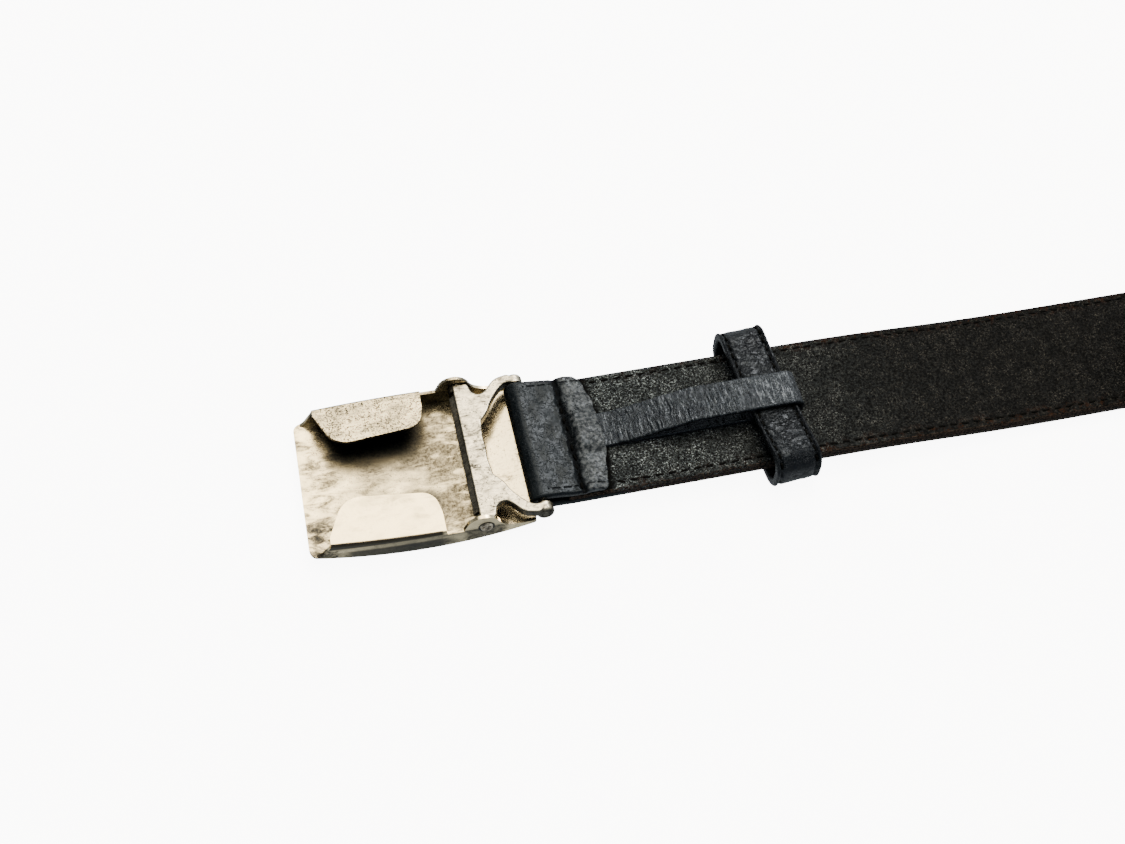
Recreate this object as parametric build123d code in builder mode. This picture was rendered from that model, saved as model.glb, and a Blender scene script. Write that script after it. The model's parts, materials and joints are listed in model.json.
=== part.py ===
"""Leather dress belt with a clamping plaque buckle, a tethered keeper and its tail rolled up for storage.

The belt lies face down: the plaque, the grain side of the strap and the front of the keeper are underneath,
and the lining faces up. +X runs along the belt from the buckle's free end to the roll, +Y across it, +Z up.
The origin is on the surface that the belt lies on, under the middle of its bounding box. Millimetres.
"""

import os
from math import acos, asin, atan2, cos, degrees, hypot, pi, radians, sin, sqrt, tan

from build123d import *

# ---- strap ------------------------------------------------------------------------------------
STRAP_WIDTH = 32.0
OUTER_THICKNESS = 1.8  # grain leather
LINING_THICKNESS = 1.5  # split leather, rough side out
STRAP_THICKNESS = OUTER_THICKNESS + LINING_THICKNESS
LEAD_HEIGHT = 2.1  # underside of the strap where it rests on the keeper
STEP_DOWN_START = 118.0  # from here the strap comes down to the table
STEP_DOWN_END = 184.0
FLEX_X = 190.0  # bend line between the lead and the rolled tail
FLEX_GAP = 0.8
TIP_CORNER = 8.0  # rounding of the tail's two corners

# ---- roll -------------------------------------------------------------------------------------
ROLL_X = 254.0
ROLL_RADIUS = 35.7  # middle of the strap in the outermost half turn
ROLL_PITCH = 4.0
ROLL_HALF_TURNS = 10

# ---- plaque -----------------------------------------------------------------------------------
SHEET = 0.8
PLAQUE_LENGTH = 50.6
PLAQUE_BOW = 155.0  # radius of the face, curved to the waist
PLAQUE_LOW_X = 25.0  # where the curved face is lowest
HALF_WIDTH = 19.6  # where it is widest
WIDEST_X = 31.0
SIDE_BOW = 300.0  # radius of the long sides, seen from above
FREE_CORNER = 2.4
HINGE_CORNER = 1.0
WALL_END_HEIGHT = 3.35  # of the side walls, at the hinge end
OVERRUN = 3.0  # how far the blank is drawn past the plaque's ends, before they are trimmed
FOLD_START = (5.0, 7.0)  # along and above, where the guide tabs fold over
FOLD_END = (29.8, 6.1)
TAB_FLARE = 4.0  # degrees that the tabs rise towards their tips
TAB_DEPTHS = (11.4, 10.4)  # at the free end's side and at the hinge's side
TAB_CORNERS = (5.5, 4.0)
EAR_CENTRE = (38.3, 5.4)
EAR_RADIUS = 3.9
WALL_STEP_HEIGHT = 5.2  # wall between tab and ear

# ---- clamp frame ------------------------------------------------------------------------------
PIN_X = 39.0
PIN_Z = 5.45
PIN_RADIUS = 0.9
PIN_CLEARANCE = 0.06
PIN_HEAD_RADIUS = 1.5
PIN_HEAD_HEIGHT = 0.35
FRAME_THICKNESS = 2.0
FRAME_TOP = PIN_Z + FRAME_THICKNESS
BAR_LEFT_X = 37.9
FRAME_HALF_WIDTH = 18.5
LUG_LENGTH = 1.5
JAW_DEPTH = 0.55
JAW_TOE = 1.1  # how far the jaw reaches past the bar
JAW_TOOTH_PITCH = 1.25
STRAP_BAR_X = 52.55
STRAP_BAR_Z = 5.4
STRAP_BAR_RADIUS = 1.0
EYE_RADIUS = FRAME_TOP - STRAP_BAR_Z
EYE_INNER = 16.8
EYE_OUTER = 19.2
EYE_ROUNDING = 0.9

# ---- turned end of the strap ------------------------------------------------------------------
LOOP_CLEARANCE = 0.1
LOOP_RADIUS = STRAP_BAR_RADIUS + LOOP_CLEARANCE + OUTER_THICKNESS / 2
LOOP_CLOSE_X = 60.0  # where both leathers lie flat on each other again
FLAP_END_X = 69.5
FLAP_CURVE = 1.8  # how far the flap's free edge curves back at its corners
CHAPE_SEAM_X = 61.8

# ---- keeper and tether ------------------------------------------------------------------------
KEEPER_X = 109.7
KEEPER_WIDTH = 11.0
KEEPER_LENGTH = 41.5
KEEPER_HEIGHT = 10.6
KEEPER_THICKNESS = 1.8
KEEPER_CORNER = 4.2
TETHER_WIDTH = 9.2
TETHER_THICKNESS = 1.1
TETHER_START_X = 69.7
TETHER_RISE_START = 71.0
TETHER_RISE_END = 95.0
TETHER_SLOPE = 13.0  # degrees
TETHER_WRAP_X = 115.2
TETHER_TOP = 12.1
GLUED = 0.1  # the two runs pressed into each other where they are glued

# ---- thread -----------------------------------------------------------------------------------
THREAD_WIDTH = 0.6
THREAD_HEIGHT = 0.25
EDGE_SEAM_INSET = 1.8
STITCH_PITCH = 2.6
STITCH_LENGTH = 1.9

ROLL_OUTSIDE = ROLL_RADIUS + STRAP_THICKNESS / 2
START_X = -(ROLL_X + ROLL_OUTSIDE) / 2  # free end of the buckle, so that the box is centred on the origin

SIDE = Plane(origin=(START_X, 0, 0), x_dir=(1, 0, 0), z_dir=(0, -1, 0))
TOP = Plane(origin=(START_X, 0, 0), x_dir=(1, 0, 0), z_dir=(0, 0, 1))
ACROSS = Plane(origin=(START_X, 0, 0), x_dir=(0, 1, 0), z_dir=(1, 0, 0))

os.makedirs("parts", exist_ok=True)


def save(solid, name):
    """Labels a finished piece and writes it to its own file."""
    solid.label = name
    export_step(solid, f"parts/{name}.step")


def face_height(x):
    """Height of the plaque's outer face above the table, along its length."""
    return PLAQUE_BOW - sqrt(PLAQUE_BOW**2 - (x - PLAQUE_LOW_X) ** 2)


def half_width(x):
    """Half of the plaque's width, along its length."""
    return HALF_WIDTH - SIDE_BOW + sqrt(SIDE_BOW**2 - (x - WIDEST_X) ** 2)


def face_point(x, rise=0.0):
    """Point of the plaque's outer face in the side view, or a point above it."""
    return (x, face_height(x) + rise)


# =================================================================================================
# Plaque: one stamped sheet with a bowed floor, two side walls, two ears and two guide tabs
# =================================================================================================


def plaque_outline(overrun=0.0, inset=0.0, rounded=False):
    """Face of the plaque from above, longer at both ends, inset by a sheet, or with rounded corners."""
    start_x, end_x = -overrun, PLAQUE_LENGTH + overrun
    with BuildSketch() as outline:
        with BuildLine():
            for side in (1, -1):
                ThreePointArc(
                    (start_x, side * half_width(start_x)),
                    (WIDEST_X, side * HALF_WIDTH),
                    (end_x, side * half_width(end_x)),
                )
            for x in (start_x, end_x):
                Line((x, half_width(x)), (x, -half_width(x)))
        make_face()
        if rounded:
            fillet(outline.vertices().group_by(Axis.X)[0], FREE_CORNER)
            fillet(outline.vertices().group_by(Axis.X)[-1], HINGE_CORNER)
        if inset:
            offset(amount=-inset)
    return outline.sketch


fold_slope = (FOLD_END[1] - FOLD_START[1]) / (FOLD_END[0] - FOLD_START[0])
TAB_PLANE = Plane(origin=(START_X, 0, FOLD_START[1] - fold_slope * FOLD_START[0]), x_dir=(0, 1, 0),
                  z_dir=(1, 0, fold_slope))
tab_rise = sin(radians(TAB_FLARE)) * HALF_WIDTH


def above_tabs(drop):
    """Region over the two guide tabs, seen along the folds, or over their undersides."""
    Polyline(
        (-HALF_WIDTH - 1, -drop),
        (0, tab_rise - drop),
        (HALF_WIDTH + 1, -drop),
        (HALF_WIDTH + 1, 12),
        (-HALF_WIDTH - 1, 12),
        close=True,
    )




def ear_point(angle):
    """Point of the ears' outline, at an angle from the belt's direction."""
    turned = radians(angle)
    return EAR_CENTRE[0] + EAR_RADIUS * cos(turned), EAR_CENTRE[1] + EAR_RADIUS * sin(turned)


ear_front, ear_back = ear_point(20), ear_point(160)
ear_foot_x = ear_back[0] - 0.7

# the blank's outer shape, with its edges rounded, before the inside is taken out
with BuildPart() as plaque_blank:
    with BuildSketch(SIDE):
        with BuildLine():
            blank_start, blank_end = -OVERRUN, PLAQUE_LENGTH + OVERRUN
            ThreePointArc(face_point(blank_start), face_point(PLAQUE_LOW_X), face_point(blank_end))
            Line(face_point(blank_end), (blank_end, WALL_END_HEIGHT))
            Line((blank_end, WALL_END_HEIGHT), (PLAQUE_LENGTH, WALL_END_HEIGHT))
            Spline(
                (PLAQUE_LENGTH, WALL_END_HEIGHT),
                (44.2, 4.5),
                ear_front,
                tangents=((-1, 0.2), (-sin(radians(20)), cos(radians(20)))),
            )
            CenterArc(EAR_CENTRE, EAR_RADIUS, 20, 140)
            Line(ear_back, (ear_foot_x, WALL_STEP_HEIGHT))
            Line((ear_foot_x, WALL_STEP_HEIGHT), (FOLD_END[0] + 0.6, WALL_STEP_HEIGHT))
            Line((FOLD_END[0] + 0.6, WALL_STEP_HEIGHT), (FOLD_END[0], FOLD_END[1] + 2))
            Line((FOLD_END[0], FOLD_END[1] + 2), (FOLD_START[0] + 0.4, FOLD_START[1] + 2))
            Line((FOLD_START[0] + 0.4, FOLD_START[1] + 2), FOLD_START)
            Spline(
                FOLD_START,
                (3.6, 4.6),
                face_point(1.6, SHEET),
                tangents=((-0.2, -1), (-0.9, -0.3)),
            )
            Line(face_point(1.6, SHEET), face_point(blank_start, SHEET))
            Line(face_point(blank_start, SHEET), face_point(blank_start))
        make_face()
    extrude(amount=HALF_WIDTH + 1, both=True)
    with BuildSketch(TOP.offset(-1)):
        add(plaque_outline(overrun=OVERRUN - 1))
    extrude(amount=14, mode=Mode.INTERSECT)
    with BuildSketch(TAB_PLANE):
        with BuildLine():
            above_tabs(0)
        make_face()
    extrude(amount=FOLD_END[0] + 0.5, mode=Mode.SUBTRACT)
    outer_edges = plaque_blank.edges().filter_by(
        lambda e: abs(e.center().Y) > HALF_WIDTH - 0.6 and e.length > 24
    )
    fillet(outer_edges, 0.7)
    with BuildSketch(TOP.offset(-1)):
        add(plaque_outline(rounded=True))
    extrude(amount=14, mode=Mode.INTERSECT)

with BuildPart() as guide_tabs:
    with BuildSketch(TOP):
        for side in (1, -1):
            left_fold, right_fold = half_width(FOLD_START[0]), half_width(FOLD_END[0])
            with BuildLine():
                Polyline(
                    (3, side * (left_fold + 1)),
                    (3, side * (left_fold - 2)),
                    (FOLD_START[0], side * (left_fold - 2)),
                    (9.2, side * (left_fold - TAB_DEPTHS[0])),
                    (FOLD_END[0] - 0.8, side * (right_fold - TAB_DEPTHS[1])),
                    (FOLD_END[0] + 1, side * (right_fold - 2)),
                    (FOLD_END[0] + 1, side * (right_fold + 1)),
                    close=True,
                )
            make_face()
    extrude(amount=14)
    with BuildSketch(TAB_PLANE):
        with BuildLine():
            above_tabs(SHEET)
        make_face()
    extrude(amount=FOLD_END[0] + 4, mode=Mode.INTERSECT)
    tip_edges = guide_tabs.edges().filter_by(
        lambda e: abs(e.tangent_at(0.5).Z) > 0.9 and abs(e.center().Y) < half_width(0) - 5
    )
    for edges, radius in zip((tip_edges.group_by(Axis.X)[0], tip_edges.group_by(Axis.X)[-1]), TAB_CORNERS):
        fillet(edges, radius)

with BuildPart() as plaque_inside:
    with BuildSketch(TOP.offset(-1)):
        add(plaque_outline(inset=SHEET, rounded=True))
        with Locations((PLAQUE_LENGTH - 2, 0)):
            Rectangle(4, 2 * half_width(PLAQUE_LENGTH) - 2 * SHEET, align=(Align.MIN, Align.CENTER))
    extrude(amount=16)
    with BuildSketch(SIDE):
        with BuildLine():
            ThreePointArc(face_point(-9, SHEET), face_point(PLAQUE_LOW_X, SHEET), face_point(60, SHEET))
            Polyline(face_point(60, SHEET), (60, 20), (-9, 20), face_point(-9, SHEET))
        make_face()
    extrude(amount=HALF_WIDTH + 1, both=True, mode=Mode.INTERSECT)
    add(guide_tabs, mode=Mode.SUBTRACT)

with BuildPart() as face_plate:
    add(plaque_blank)
    add(plaque_inside, mode=Mode.SUBTRACT)
    with BuildSketch(SIDE):
        with Locations((PIN_X, PIN_Z)):
            Circle(PIN_RADIUS)
    extrude(amount=HALF_WIDTH + 1, both=True, mode=Mode.SUBTRACT)
save(face_plate.part, "face_plate")

# =================================================================================================
# Pivot pins: riveted in the ears, turning in the clamp frame's lugs
# =================================================================================================

pin_tip_y = FRAME_HALF_WIDTH - LUG_LENGTH
ear_outside = half_width(PIN_X - PIN_HEAD_RADIUS)

with BuildPart() as pivot_pins:
    for side in (1, -1):
        with BuildSketch(Plane(origin=(START_X + PIN_X, 0, PIN_Z), x_dir=(0, side, 0), z_dir=(1, 0, 0))):
            with BuildLine():
                Polyline(
                    (pin_tip_y, 0),
                    (pin_tip_y, PIN_RADIUS),
                    (ear_outside, PIN_RADIUS),
                    (ear_outside, PIN_HEAD_RADIUS),
                    (ear_outside + PIN_HEAD_HEIGHT, PIN_HEAD_RADIUS - 0.2),
                    (ear_outside + PIN_HEAD_HEIGHT, 1.05),
                    (ear_outside - 0.2, 0.7),
                    (ear_outside + 0.15, 0.35),
                    (ear_outside + 0.2, 0),
                    close=True,
                )
            make_face()
        revolve(axis=Axis((START_X + PIN_X, 0, PIN_Z), (0, 1, 0)))
save(pivot_pins.part, "pivot_pins")

# =================================================================================================
# Clamp frame: a cast plate with a jaw, pivot lugs, two splayed arms and an eye at each arm's tip
# =================================================================================================

with BuildPart() as frame_eyes:
    for side in (1, -1):
        with BuildSketch(SIDE.offset(-side * EYE_INNER)):
            with Locations((STRAP_BAR_X, STRAP_BAR_Z)):
                Circle(EYE_RADIUS)
        extrude(amount=-side * (EYE_OUTER - EYE_INNER))
    fillet(frame_eyes.edges().filter_by(lambda e: abs(e.center().Y) > EYE_OUTER - 0.1), EYE_ROUNDING)

with BuildPart() as clamp_frame:
    with BuildSketch(TOP) as frame_plan:
        for side in (1, -1):
            with BuildLine():
                Line((BAR_LEFT_X, 0), (BAR_LEFT_X, side * FRAME_HALF_WIDTH))
                Line((BAR_LEFT_X, side * FRAME_HALF_WIDTH), (40.6, side * FRAME_HALF_WIDTH))
                Spline(
                    (40.6, side * FRAME_HALF_WIDTH),
                    (42.1, side * 16.1),
                    (43.9, side * 14.95),
                    (46.6, side * 17.2),
                    (48.5, side * 18.7),
                    (50.5, side * (EYE_OUTER - 0.05)),
                    (STRAP_BAR_X, side * (EYE_OUTER - EYE_ROUNDING)),
                    tangents=((1, 0), (0.8, -side * 0.6)),
                )
                Line(
                    (STRAP_BAR_X, side * (EYE_OUTER - EYE_ROUNDING)),
                    (STRAP_BAR_X, side * EYE_INNER),
                )
                Spline(
                    (STRAP_BAR_X, side * EYE_INNER),
                    (50.4, side * 16.75),
                    (48.2, side * 15.1),
                    (45.6, side * 11.4),
                    (42.9, side * 7.4),
                    tangents=((-1, 0), (-0.8, -side * 0.9)),
                )
                Line((42.9, side * 7.4), (42.4, side * 3.0))
                Line((42.4, side * 3.0), (42.6, 0))
                Line((42.6, 0), (BAR_LEFT_X, 0))
            make_face()
    extrude(amount=FRAME_TOP + 1)
    with BuildSketch(SIDE):
        with BuildLine():
            Polyline(
                (BAR_LEFT_X - 1, FRAME_TOP - FRAME_THICKNESS),
                (STRAP_BAR_X, FRAME_TOP - FRAME_THICKNESS),
                (STRAP_BAR_X, FRAME_TOP),
                (BAR_LEFT_X - 1, FRAME_TOP),
                close=True,
            )
        make_face()
    extrude(amount=EYE_OUTER + 1, both=True, mode=Mode.INTERSECT)
    chosen = clamp_frame.edges().filter_by(
        lambda e: abs(e.center().Z - FRAME_TOP) < 0.01 and e.center().X < START_X + STRAP_BAR_X - 0.3
    )
    fillet(chosen, 0.45)
    # jaw lip with serrations
    with BuildSketch(SIDE):
        with BuildLine():
            Polyline(
                (BAR_LEFT_X, FRAME_TOP - 0.7),
                (BAR_LEFT_X - JAW_TOE, PIN_Z + 0.15),
                (BAR_LEFT_X - JAW_TOE, PIN_Z - JAW_DEPTH),
                (BAR_LEFT_X + 0.5, PIN_Z - JAW_DEPTH),
                (BAR_LEFT_X + 1.4, PIN_Z),
                (BAR_LEFT_X + 1.4, FRAME_TOP - 0.7),
                close=True,
            )
        make_face()
    extrude(amount=STRAP_WIDTH / 2, both=True)
    tooth_count = int(STRAP_WIDTH / JAW_TOOTH_PITCH)
    with BuildSketch(ACROSS.offset(BAR_LEFT_X - JAW_TOE - 0.5)):
        with GridLocations(JAW_TOOTH_PITCH, 0, tooth_count, 1):
            with Locations((0, PIN_Z - JAW_DEPTH)):
                Circle(0.38)
    extrude(amount=JAW_TOE + 2.1, mode=Mode.SUBTRACT)
    # pivot lugs and strap-bar eyes
    add(frame_eyes)
    for side in (1, -1):
        with BuildSketch(SIDE.offset(-side * (FRAME_HALF_WIDTH - LUG_LENGTH / 2))):
            with Locations((PIN_X, PIN_Z)):
                Circle(FRAME_THICKNESS - 0.02)
        extrude(amount=LUG_LENGTH / 2, both=True)
    with BuildSketch(SIDE):
        with Locations((PIN_X, PIN_Z)):
            Circle(PIN_RADIUS + PIN_CLEARANCE)
        with Locations((STRAP_BAR_X, STRAP_BAR_Z)):
            Circle(STRAP_BAR_RADIUS)
    extrude(amount=EYE_OUTER + 1, both=True, mode=Mode.SUBTRACT)
save(clamp_frame.part, "clamp_frame")

with BuildPart() as strap_bar:
    with BuildSketch(SIDE):
        with Locations((STRAP_BAR_X, STRAP_BAR_Z)):
            Circle(STRAP_BAR_RADIUS)
    extrude(amount=EYE_OUTER, both=True)
    chamfer(strap_bar.edges().filter_by(GeomType.CIRCLE), 0.25)
save(strap_bar.part, "strap_bar")

# =================================================================================================
# Strap: grain leather turned round the bar, lining on its back, both split at the bend line
# =================================================================================================

lead_mid = LEAD_HEIGHT + STRAP_THICKNESS / 2
flat_mid = STRAP_THICKNESS / 2
outer_offset = OUTER_THICKNESS / 2 - STRAP_THICKNESS / 2
lining_offset = STRAP_THICKNESS / 2 - LINING_THICKNESS / 2
thread_offset = STRAP_THICKNESS / 2 + THREAD_HEIGHT / 2
step_run = STEP_DOWN_END - STEP_DOWN_START
step_radius = (step_run**2 + LEAD_HEIGHT**2) / (4 * LEAD_HEIGHT)
step_angle = degrees(asin(step_run / 2 / step_radius))
end_round = STRAP_THICKNESS / 2
lead_end_x = FLEX_X - FLEX_GAP / 2 - end_round
tail_start_x = FLEX_X + FLEX_GAP / 2 + end_round


def lead_line(from_x, offset_up, to_x=lead_end_x):
    """Line parallel to the strap's middle from from_x to the bend line, coming down to the table."""
    Line((from_x, lead_mid + offset_up), (STEP_DOWN_START, lead_mid + offset_up))
    CenterArc((STEP_DOWN_START, lead_mid - step_radius), step_radius + offset_up, 90, -step_angle)
    CenterArc((STEP_DOWN_END, flat_mid + step_radius), step_radius - offset_up, 270 - step_angle, step_angle)
    Line((STEP_DOWN_END, flat_mid + offset_up), (to_x, flat_mid + offset_up))


def half_turn(turn):
    """Height of the centre and radius of one half turn of the roll: the right halves share one centre."""
    radius = ROLL_RADIUS - turn * ROLL_PITCH / 2
    return flat_mid + ROLL_RADIUS + (turn % 2) * ROLL_PITCH / 2, radius


def tail_line(offset_up, from_x=tail_start_x):
    """Line parallel to the strap's middle from the bend line through all the half turns of the roll."""
    Line((from_x, flat_mid + offset_up), (ROLL_X, flat_mid + offset_up))
    for turn in range(ROLL_HALF_TURNS):
        centre_z, radius = half_turn(turn)
        CenterArc((ROLL_X, centre_z), radius - offset_up, 90 if turn % 2 else -90, 180)


def rounded_end(x, low, high):
    """Half-round end about the strap's middle, kept between two heights, so that the bend line can turn."""
    with Locations((x, flat_mid)):
        Circle(end_round)
    if high < STRAP_THICKNESS:
        with Locations((x, high)):
            Rectangle(3 * end_round, end_round * 2, align=(Align.CENTER, Align.MIN), mode=Mode.SUBTRACT)
    if low > 0:
        with Locations((x, low)):
            Rectangle(3 * end_round, end_round * 2, align=(Align.CENTER, Align.MAX), mode=Mode.SUBTRACT)


def tangent_angle(x, z, turn):
    """Angle on the loop round the bar where the line from (x, z) touches it."""
    distance = hypot(x - STRAP_BAR_X, z - STRAP_BAR_Z)
    return degrees(atan2(z - STRAP_BAR_Z, x - STRAP_BAR_X) + turn * acos(LOOP_RADIUS / distance))


def loop_point(angle):
    """Point of the leather's middle on the loop round the bar."""
    return (
        STRAP_BAR_X + LOOP_RADIUS * cos(radians(angle)),
        STRAP_BAR_Z + LOOP_RADIUS * sin(radians(angle)),
    )


flap_z = lead_mid + STRAP_THICKNESS / 2 + OUTER_THICKNESS / 2
outer_z = lead_mid + outer_offset
upper_touch = tangent_angle(LOOP_CLOSE_X, flap_z, 1)
lower_touch = tangent_angle(LOOP_CLOSE_X, outer_z, -1)

with BuildPart() as outer_strap_lead:
    with BuildSketch(SIDE):
        with BuildLine():
            Line((FLAP_END_X, flap_z), (LOOP_CLOSE_X, flap_z))
            Line((LOOP_CLOSE_X, flap_z), loop_point(upper_touch))
            CenterArc(
                (STRAP_BAR_X, STRAP_BAR_Z), LOOP_RADIUS, upper_touch, 360 + lower_touch - upper_touch
            )
            Line(loop_point(lower_touch), (LOOP_CLOSE_X, outer_z))
            lead_line(LOOP_CLOSE_X, outer_offset)
        trace(line_width=OUTER_THICKNESS)
        rounded_end(lead_end_x, 0, OUTER_THICKNESS)
    extrude(amount=STRAP_WIDTH / 2, both=True)
    with BuildSketch(TOP.offset(flap_z - OUTER_THICKNESS / 2)):
        with BuildLine():
            flap_corners = [(FLAP_END_X - FLAP_CURVE, side * STRAP_WIDTH / 2) for side in (1, -1)]
            ThreePointArc(flap_corners[0], (FLAP_END_X, 0), flap_corners[1])
            Polyline(flap_corners[1], (FLAP_END_X + 1, -STRAP_WIDTH), (FLAP_END_X + 1, STRAP_WIDTH),
                     flap_corners[0])
        make_face()
    extrude(amount=2 * OUTER_THICKNESS, mode=Mode.SUBTRACT)
save(outer_strap_lead.part, "outer_strap_lead")

with BuildPart() as lining_lead:
    with BuildSketch(SIDE):
        with BuildLine():
            lead_line(LOOP_CLOSE_X, lining_offset)
        trace(line_width=LINING_THICKNESS)
        rounded_end(lead_end_x, OUTER_THICKNESS, STRAP_THICKNESS)
    extrude(amount=STRAP_WIDTH / 2, both=True)
save(lining_lead.part, "lining_lead")

tip_z, tip_radius = half_turn(ROLL_HALF_TURNS - 1)

with BuildPart() as tip_corners:
    with BuildSketch(TOP.offset(tip_z - tip_radius - STRAP_THICKNESS)):
        with Locations((ROLL_X, 0)):
            Rectangle(TIP_CORNER, STRAP_WIDTH + 2, align=(Align.MAX, Align.CENTER))
            Rectangle(TIP_CORNER, STRAP_WIDTH - 2 * TIP_CORNER, align=(Align.MAX, Align.CENTER),
                      mode=Mode.SUBTRACT)
        with GridLocations(0, STRAP_WIDTH - 2 * TIP_CORNER, 1, 2):
            with Locations((ROLL_X - TIP_CORNER, 0)):
                Circle(TIP_CORNER, mode=Mode.SUBTRACT)
    extrude(amount=tip_radius)
    with BuildSketch(SIDE):
        with Locations((ROLL_X, tip_z)):
            Circle(tip_radius + STRAP_THICKNESS / 2 + 0.3)
    extrude(amount=STRAP_WIDTH, both=True, mode=Mode.INTERSECT)

with BuildPart() as outer_strap_tail:
    with BuildSketch(SIDE):
        with BuildLine():
            tail_line(outer_offset)
        trace(line_width=OUTER_THICKNESS)
        rounded_end(tail_start_x, 0, OUTER_THICKNESS)
    extrude(amount=STRAP_WIDTH / 2, both=True)
    add(tip_corners, mode=Mode.SUBTRACT)
save(outer_strap_tail.part, "outer_strap_tail")

with BuildPart() as lining_tail:
    with BuildSketch(SIDE):
        with BuildLine():
            tail_line(lining_offset)
        trace(line_width=LINING_THICKNESS)
        rounded_end(tail_start_x, OUTER_THICKNESS, STRAP_THICKNESS)
    extrude(amount=STRAP_WIDTH / 2, both=True)
    add(tip_corners, mode=Mode.SUBTRACT)
save(lining_tail.part, "lining_tail")

# =================================================================================================
# Seams: two rows along the strap, one row across the turned end
# =================================================================================================

seam_y = STRAP_WIDTH / 2 - EDGE_SEAM_INSET

with BuildPart() as edge_thread_lead:
    for side in (1, -1):
        with BuildSketch(SIDE.offset(-side * seam_y)):
            with BuildLine():
                lead_line(FLAP_END_X + 1.5, thread_offset, lead_end_x - 1)
            trace(line_width=THREAD_HEIGHT)
        extrude(amount=THREAD_WIDTH / 2, both=True)
save(edge_thread_lead.part, "edge_thread_lead")

with BuildPart() as edge_thread_tail:
    for side in (1, -1):
        with BuildSketch(SIDE.offset(-side * seam_y)):
            with BuildLine():
                tail_line(thread_offset, tail_start_x + 1)
            trace(line_width=THREAD_HEIGHT)
        extrude(amount=THREAD_WIDTH / 2, both=True)
    add(tip_corners, mode=Mode.SUBTRACT)
save(edge_thread_tail.part, "edge_thread_tail")

with BuildPart() as chape_thread:
    with BuildSketch(TOP.offset(flap_z + OUTER_THICKNESS / 2)):
        with Locations((CHAPE_SEAM_X, 0)):
            with GridLocations(0, STITCH_PITCH, 1, 11):
                Rectangle(THREAD_WIDTH, STITCH_LENGTH)
    extrude(amount=THREAD_HEIGHT)
save(chape_thread.part, "chape_thread")

# =================================================================================================
# Keeper: a leather loop with its ends butted and stapled at the front, and two stitched rows
# =================================================================================================

with BuildPart() as keeper_staple:
    with BuildSketch(ACROSS.offset(KEEPER_X)):
        with Locations((0, KEEPER_THICKNESS)):
            Rectangle(8, 0.5, align=(Align.CENTER, Align.MAX))
        with Locations((-3.75, KEEPER_THICKNESS), (3.75, KEEPER_THICKNESS)):
            Rectangle(0.5, 1.4, align=(Align.CENTER, Align.MAX))
    extrude(amount=0.5, both=True)
save(keeper_staple.part, "keeper_staple")

with BuildPart() as keeper:
    with BuildSketch(ACROSS.offset(KEEPER_X)):
        with Locations((0, KEEPER_HEIGHT / 2)):
            RectangleRounded(KEEPER_LENGTH, KEEPER_HEIGHT, KEEPER_CORNER)
            RectangleRounded(
                KEEPER_LENGTH - 2 * KEEPER_THICKNESS,
                KEEPER_HEIGHT - 2 * KEEPER_THICKNESS,
                KEEPER_CORNER - KEEPER_THICKNESS,
                mode=Mode.SUBTRACT,
            )
        Rectangle(0.3, 2 * KEEPER_THICKNESS + 0.2, mode=Mode.SUBTRACT)
    extrude(amount=KEEPER_WIDTH / 2, both=True)
    add(keeper_staple, mode=Mode.SUBTRACT)
save(keeper.part, "keeper")

with BuildPart() as keeper_thread:
    for side in (1, -1):
        with BuildSketch(ACROSS.offset(KEEPER_X + side * (KEEPER_WIDTH / 2 - 1.2))):
            with Locations((0, KEEPER_HEIGHT / 2)):
                RectangleRounded(
                    KEEPER_LENGTH + 2 * THREAD_HEIGHT,
                    KEEPER_HEIGHT + 2 * THREAD_HEIGHT,
                    KEEPER_CORNER + THREAD_HEIGHT,
                )
                RectangleRounded(KEEPER_LENGTH, KEEPER_HEIGHT, KEEPER_CORNER, mode=Mode.SUBTRACT)
            Rectangle(KEEPER_LENGTH + 4, KEEPER_HEIGHT, mode=Mode.SUBTRACT)
        extrude(amount=0.25, both=True)
save(keeper_thread.part, "keeper_thread")

# =================================================================================================
# Tether: a narrow strip glued to the lining, running up over the keeper's back run and round it
# =================================================================================================

tether_low = LEAD_HEIGHT + STRAP_THICKNESS + TETHER_THICKNESS / 2
tether_high = TETHER_TOP - TETHER_THICKNESS / 2
tether_stack = tether_low + TETHER_THICKNESS - GLUED
rise_run = TETHER_RISE_END - TETHER_RISE_START
rise_height = tether_high - tether_stack
slope = radians(TETHER_SLOPE)
rise_radius = (rise_run * tan(slope) - rise_height) * cos(slope) / (2 - 2 * cos(slope))
bend = (rise_radius * sin(slope), rise_radius * (1 - cos(slope)))
wrap_radius = (tether_high - tether_low) / 2

with BuildPart() as tether:
    with BuildSketch(SIDE):
        with BuildLine():
            Line((TETHER_START_X, tether_low), (TETHER_WRAP_X, tether_low))
            CenterArc((TETHER_WRAP_X, tether_low + wrap_radius), wrap_radius, -90, 180)
            Line((TETHER_WRAP_X, tether_high), (TETHER_RISE_END, tether_high))
        trace(line_width=TETHER_THICKNESS)
        with BuildLine():
            CenterArc((TETHER_RISE_END, tether_high - rise_radius), rise_radius, 90, TETHER_SLOPE)
            Line(
                (TETHER_RISE_END - bend[0], tether_high - bend[1]),
                (TETHER_RISE_START + bend[0], tether_stack + bend[1]),
            )
            CenterArc(
                (TETHER_RISE_START, tether_stack + rise_radius), rise_radius, 270 + TETHER_SLOPE, -TETHER_SLOPE
            )
            Line((TETHER_RISE_START, tether_stack), (TETHER_START_X, tether_stack))
        trace(line_width=TETHER_THICKNESS)
    extrude(amount=TETHER_WIDTH / 2, both=True)
save(tether.part, "tether")

strap_run = ROLL_X - STRAP_BAR_X
roll_run = sum(pi * half_turn(turn)[1] for turn in range(ROLL_HALF_TURNS))
print(f"strap from bar to tail: {strap_run + roll_run:.0f} mm")
print(f"belt as rolled: {ROLL_X + ROLL_OUTSIDE:.1f} mm")
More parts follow.
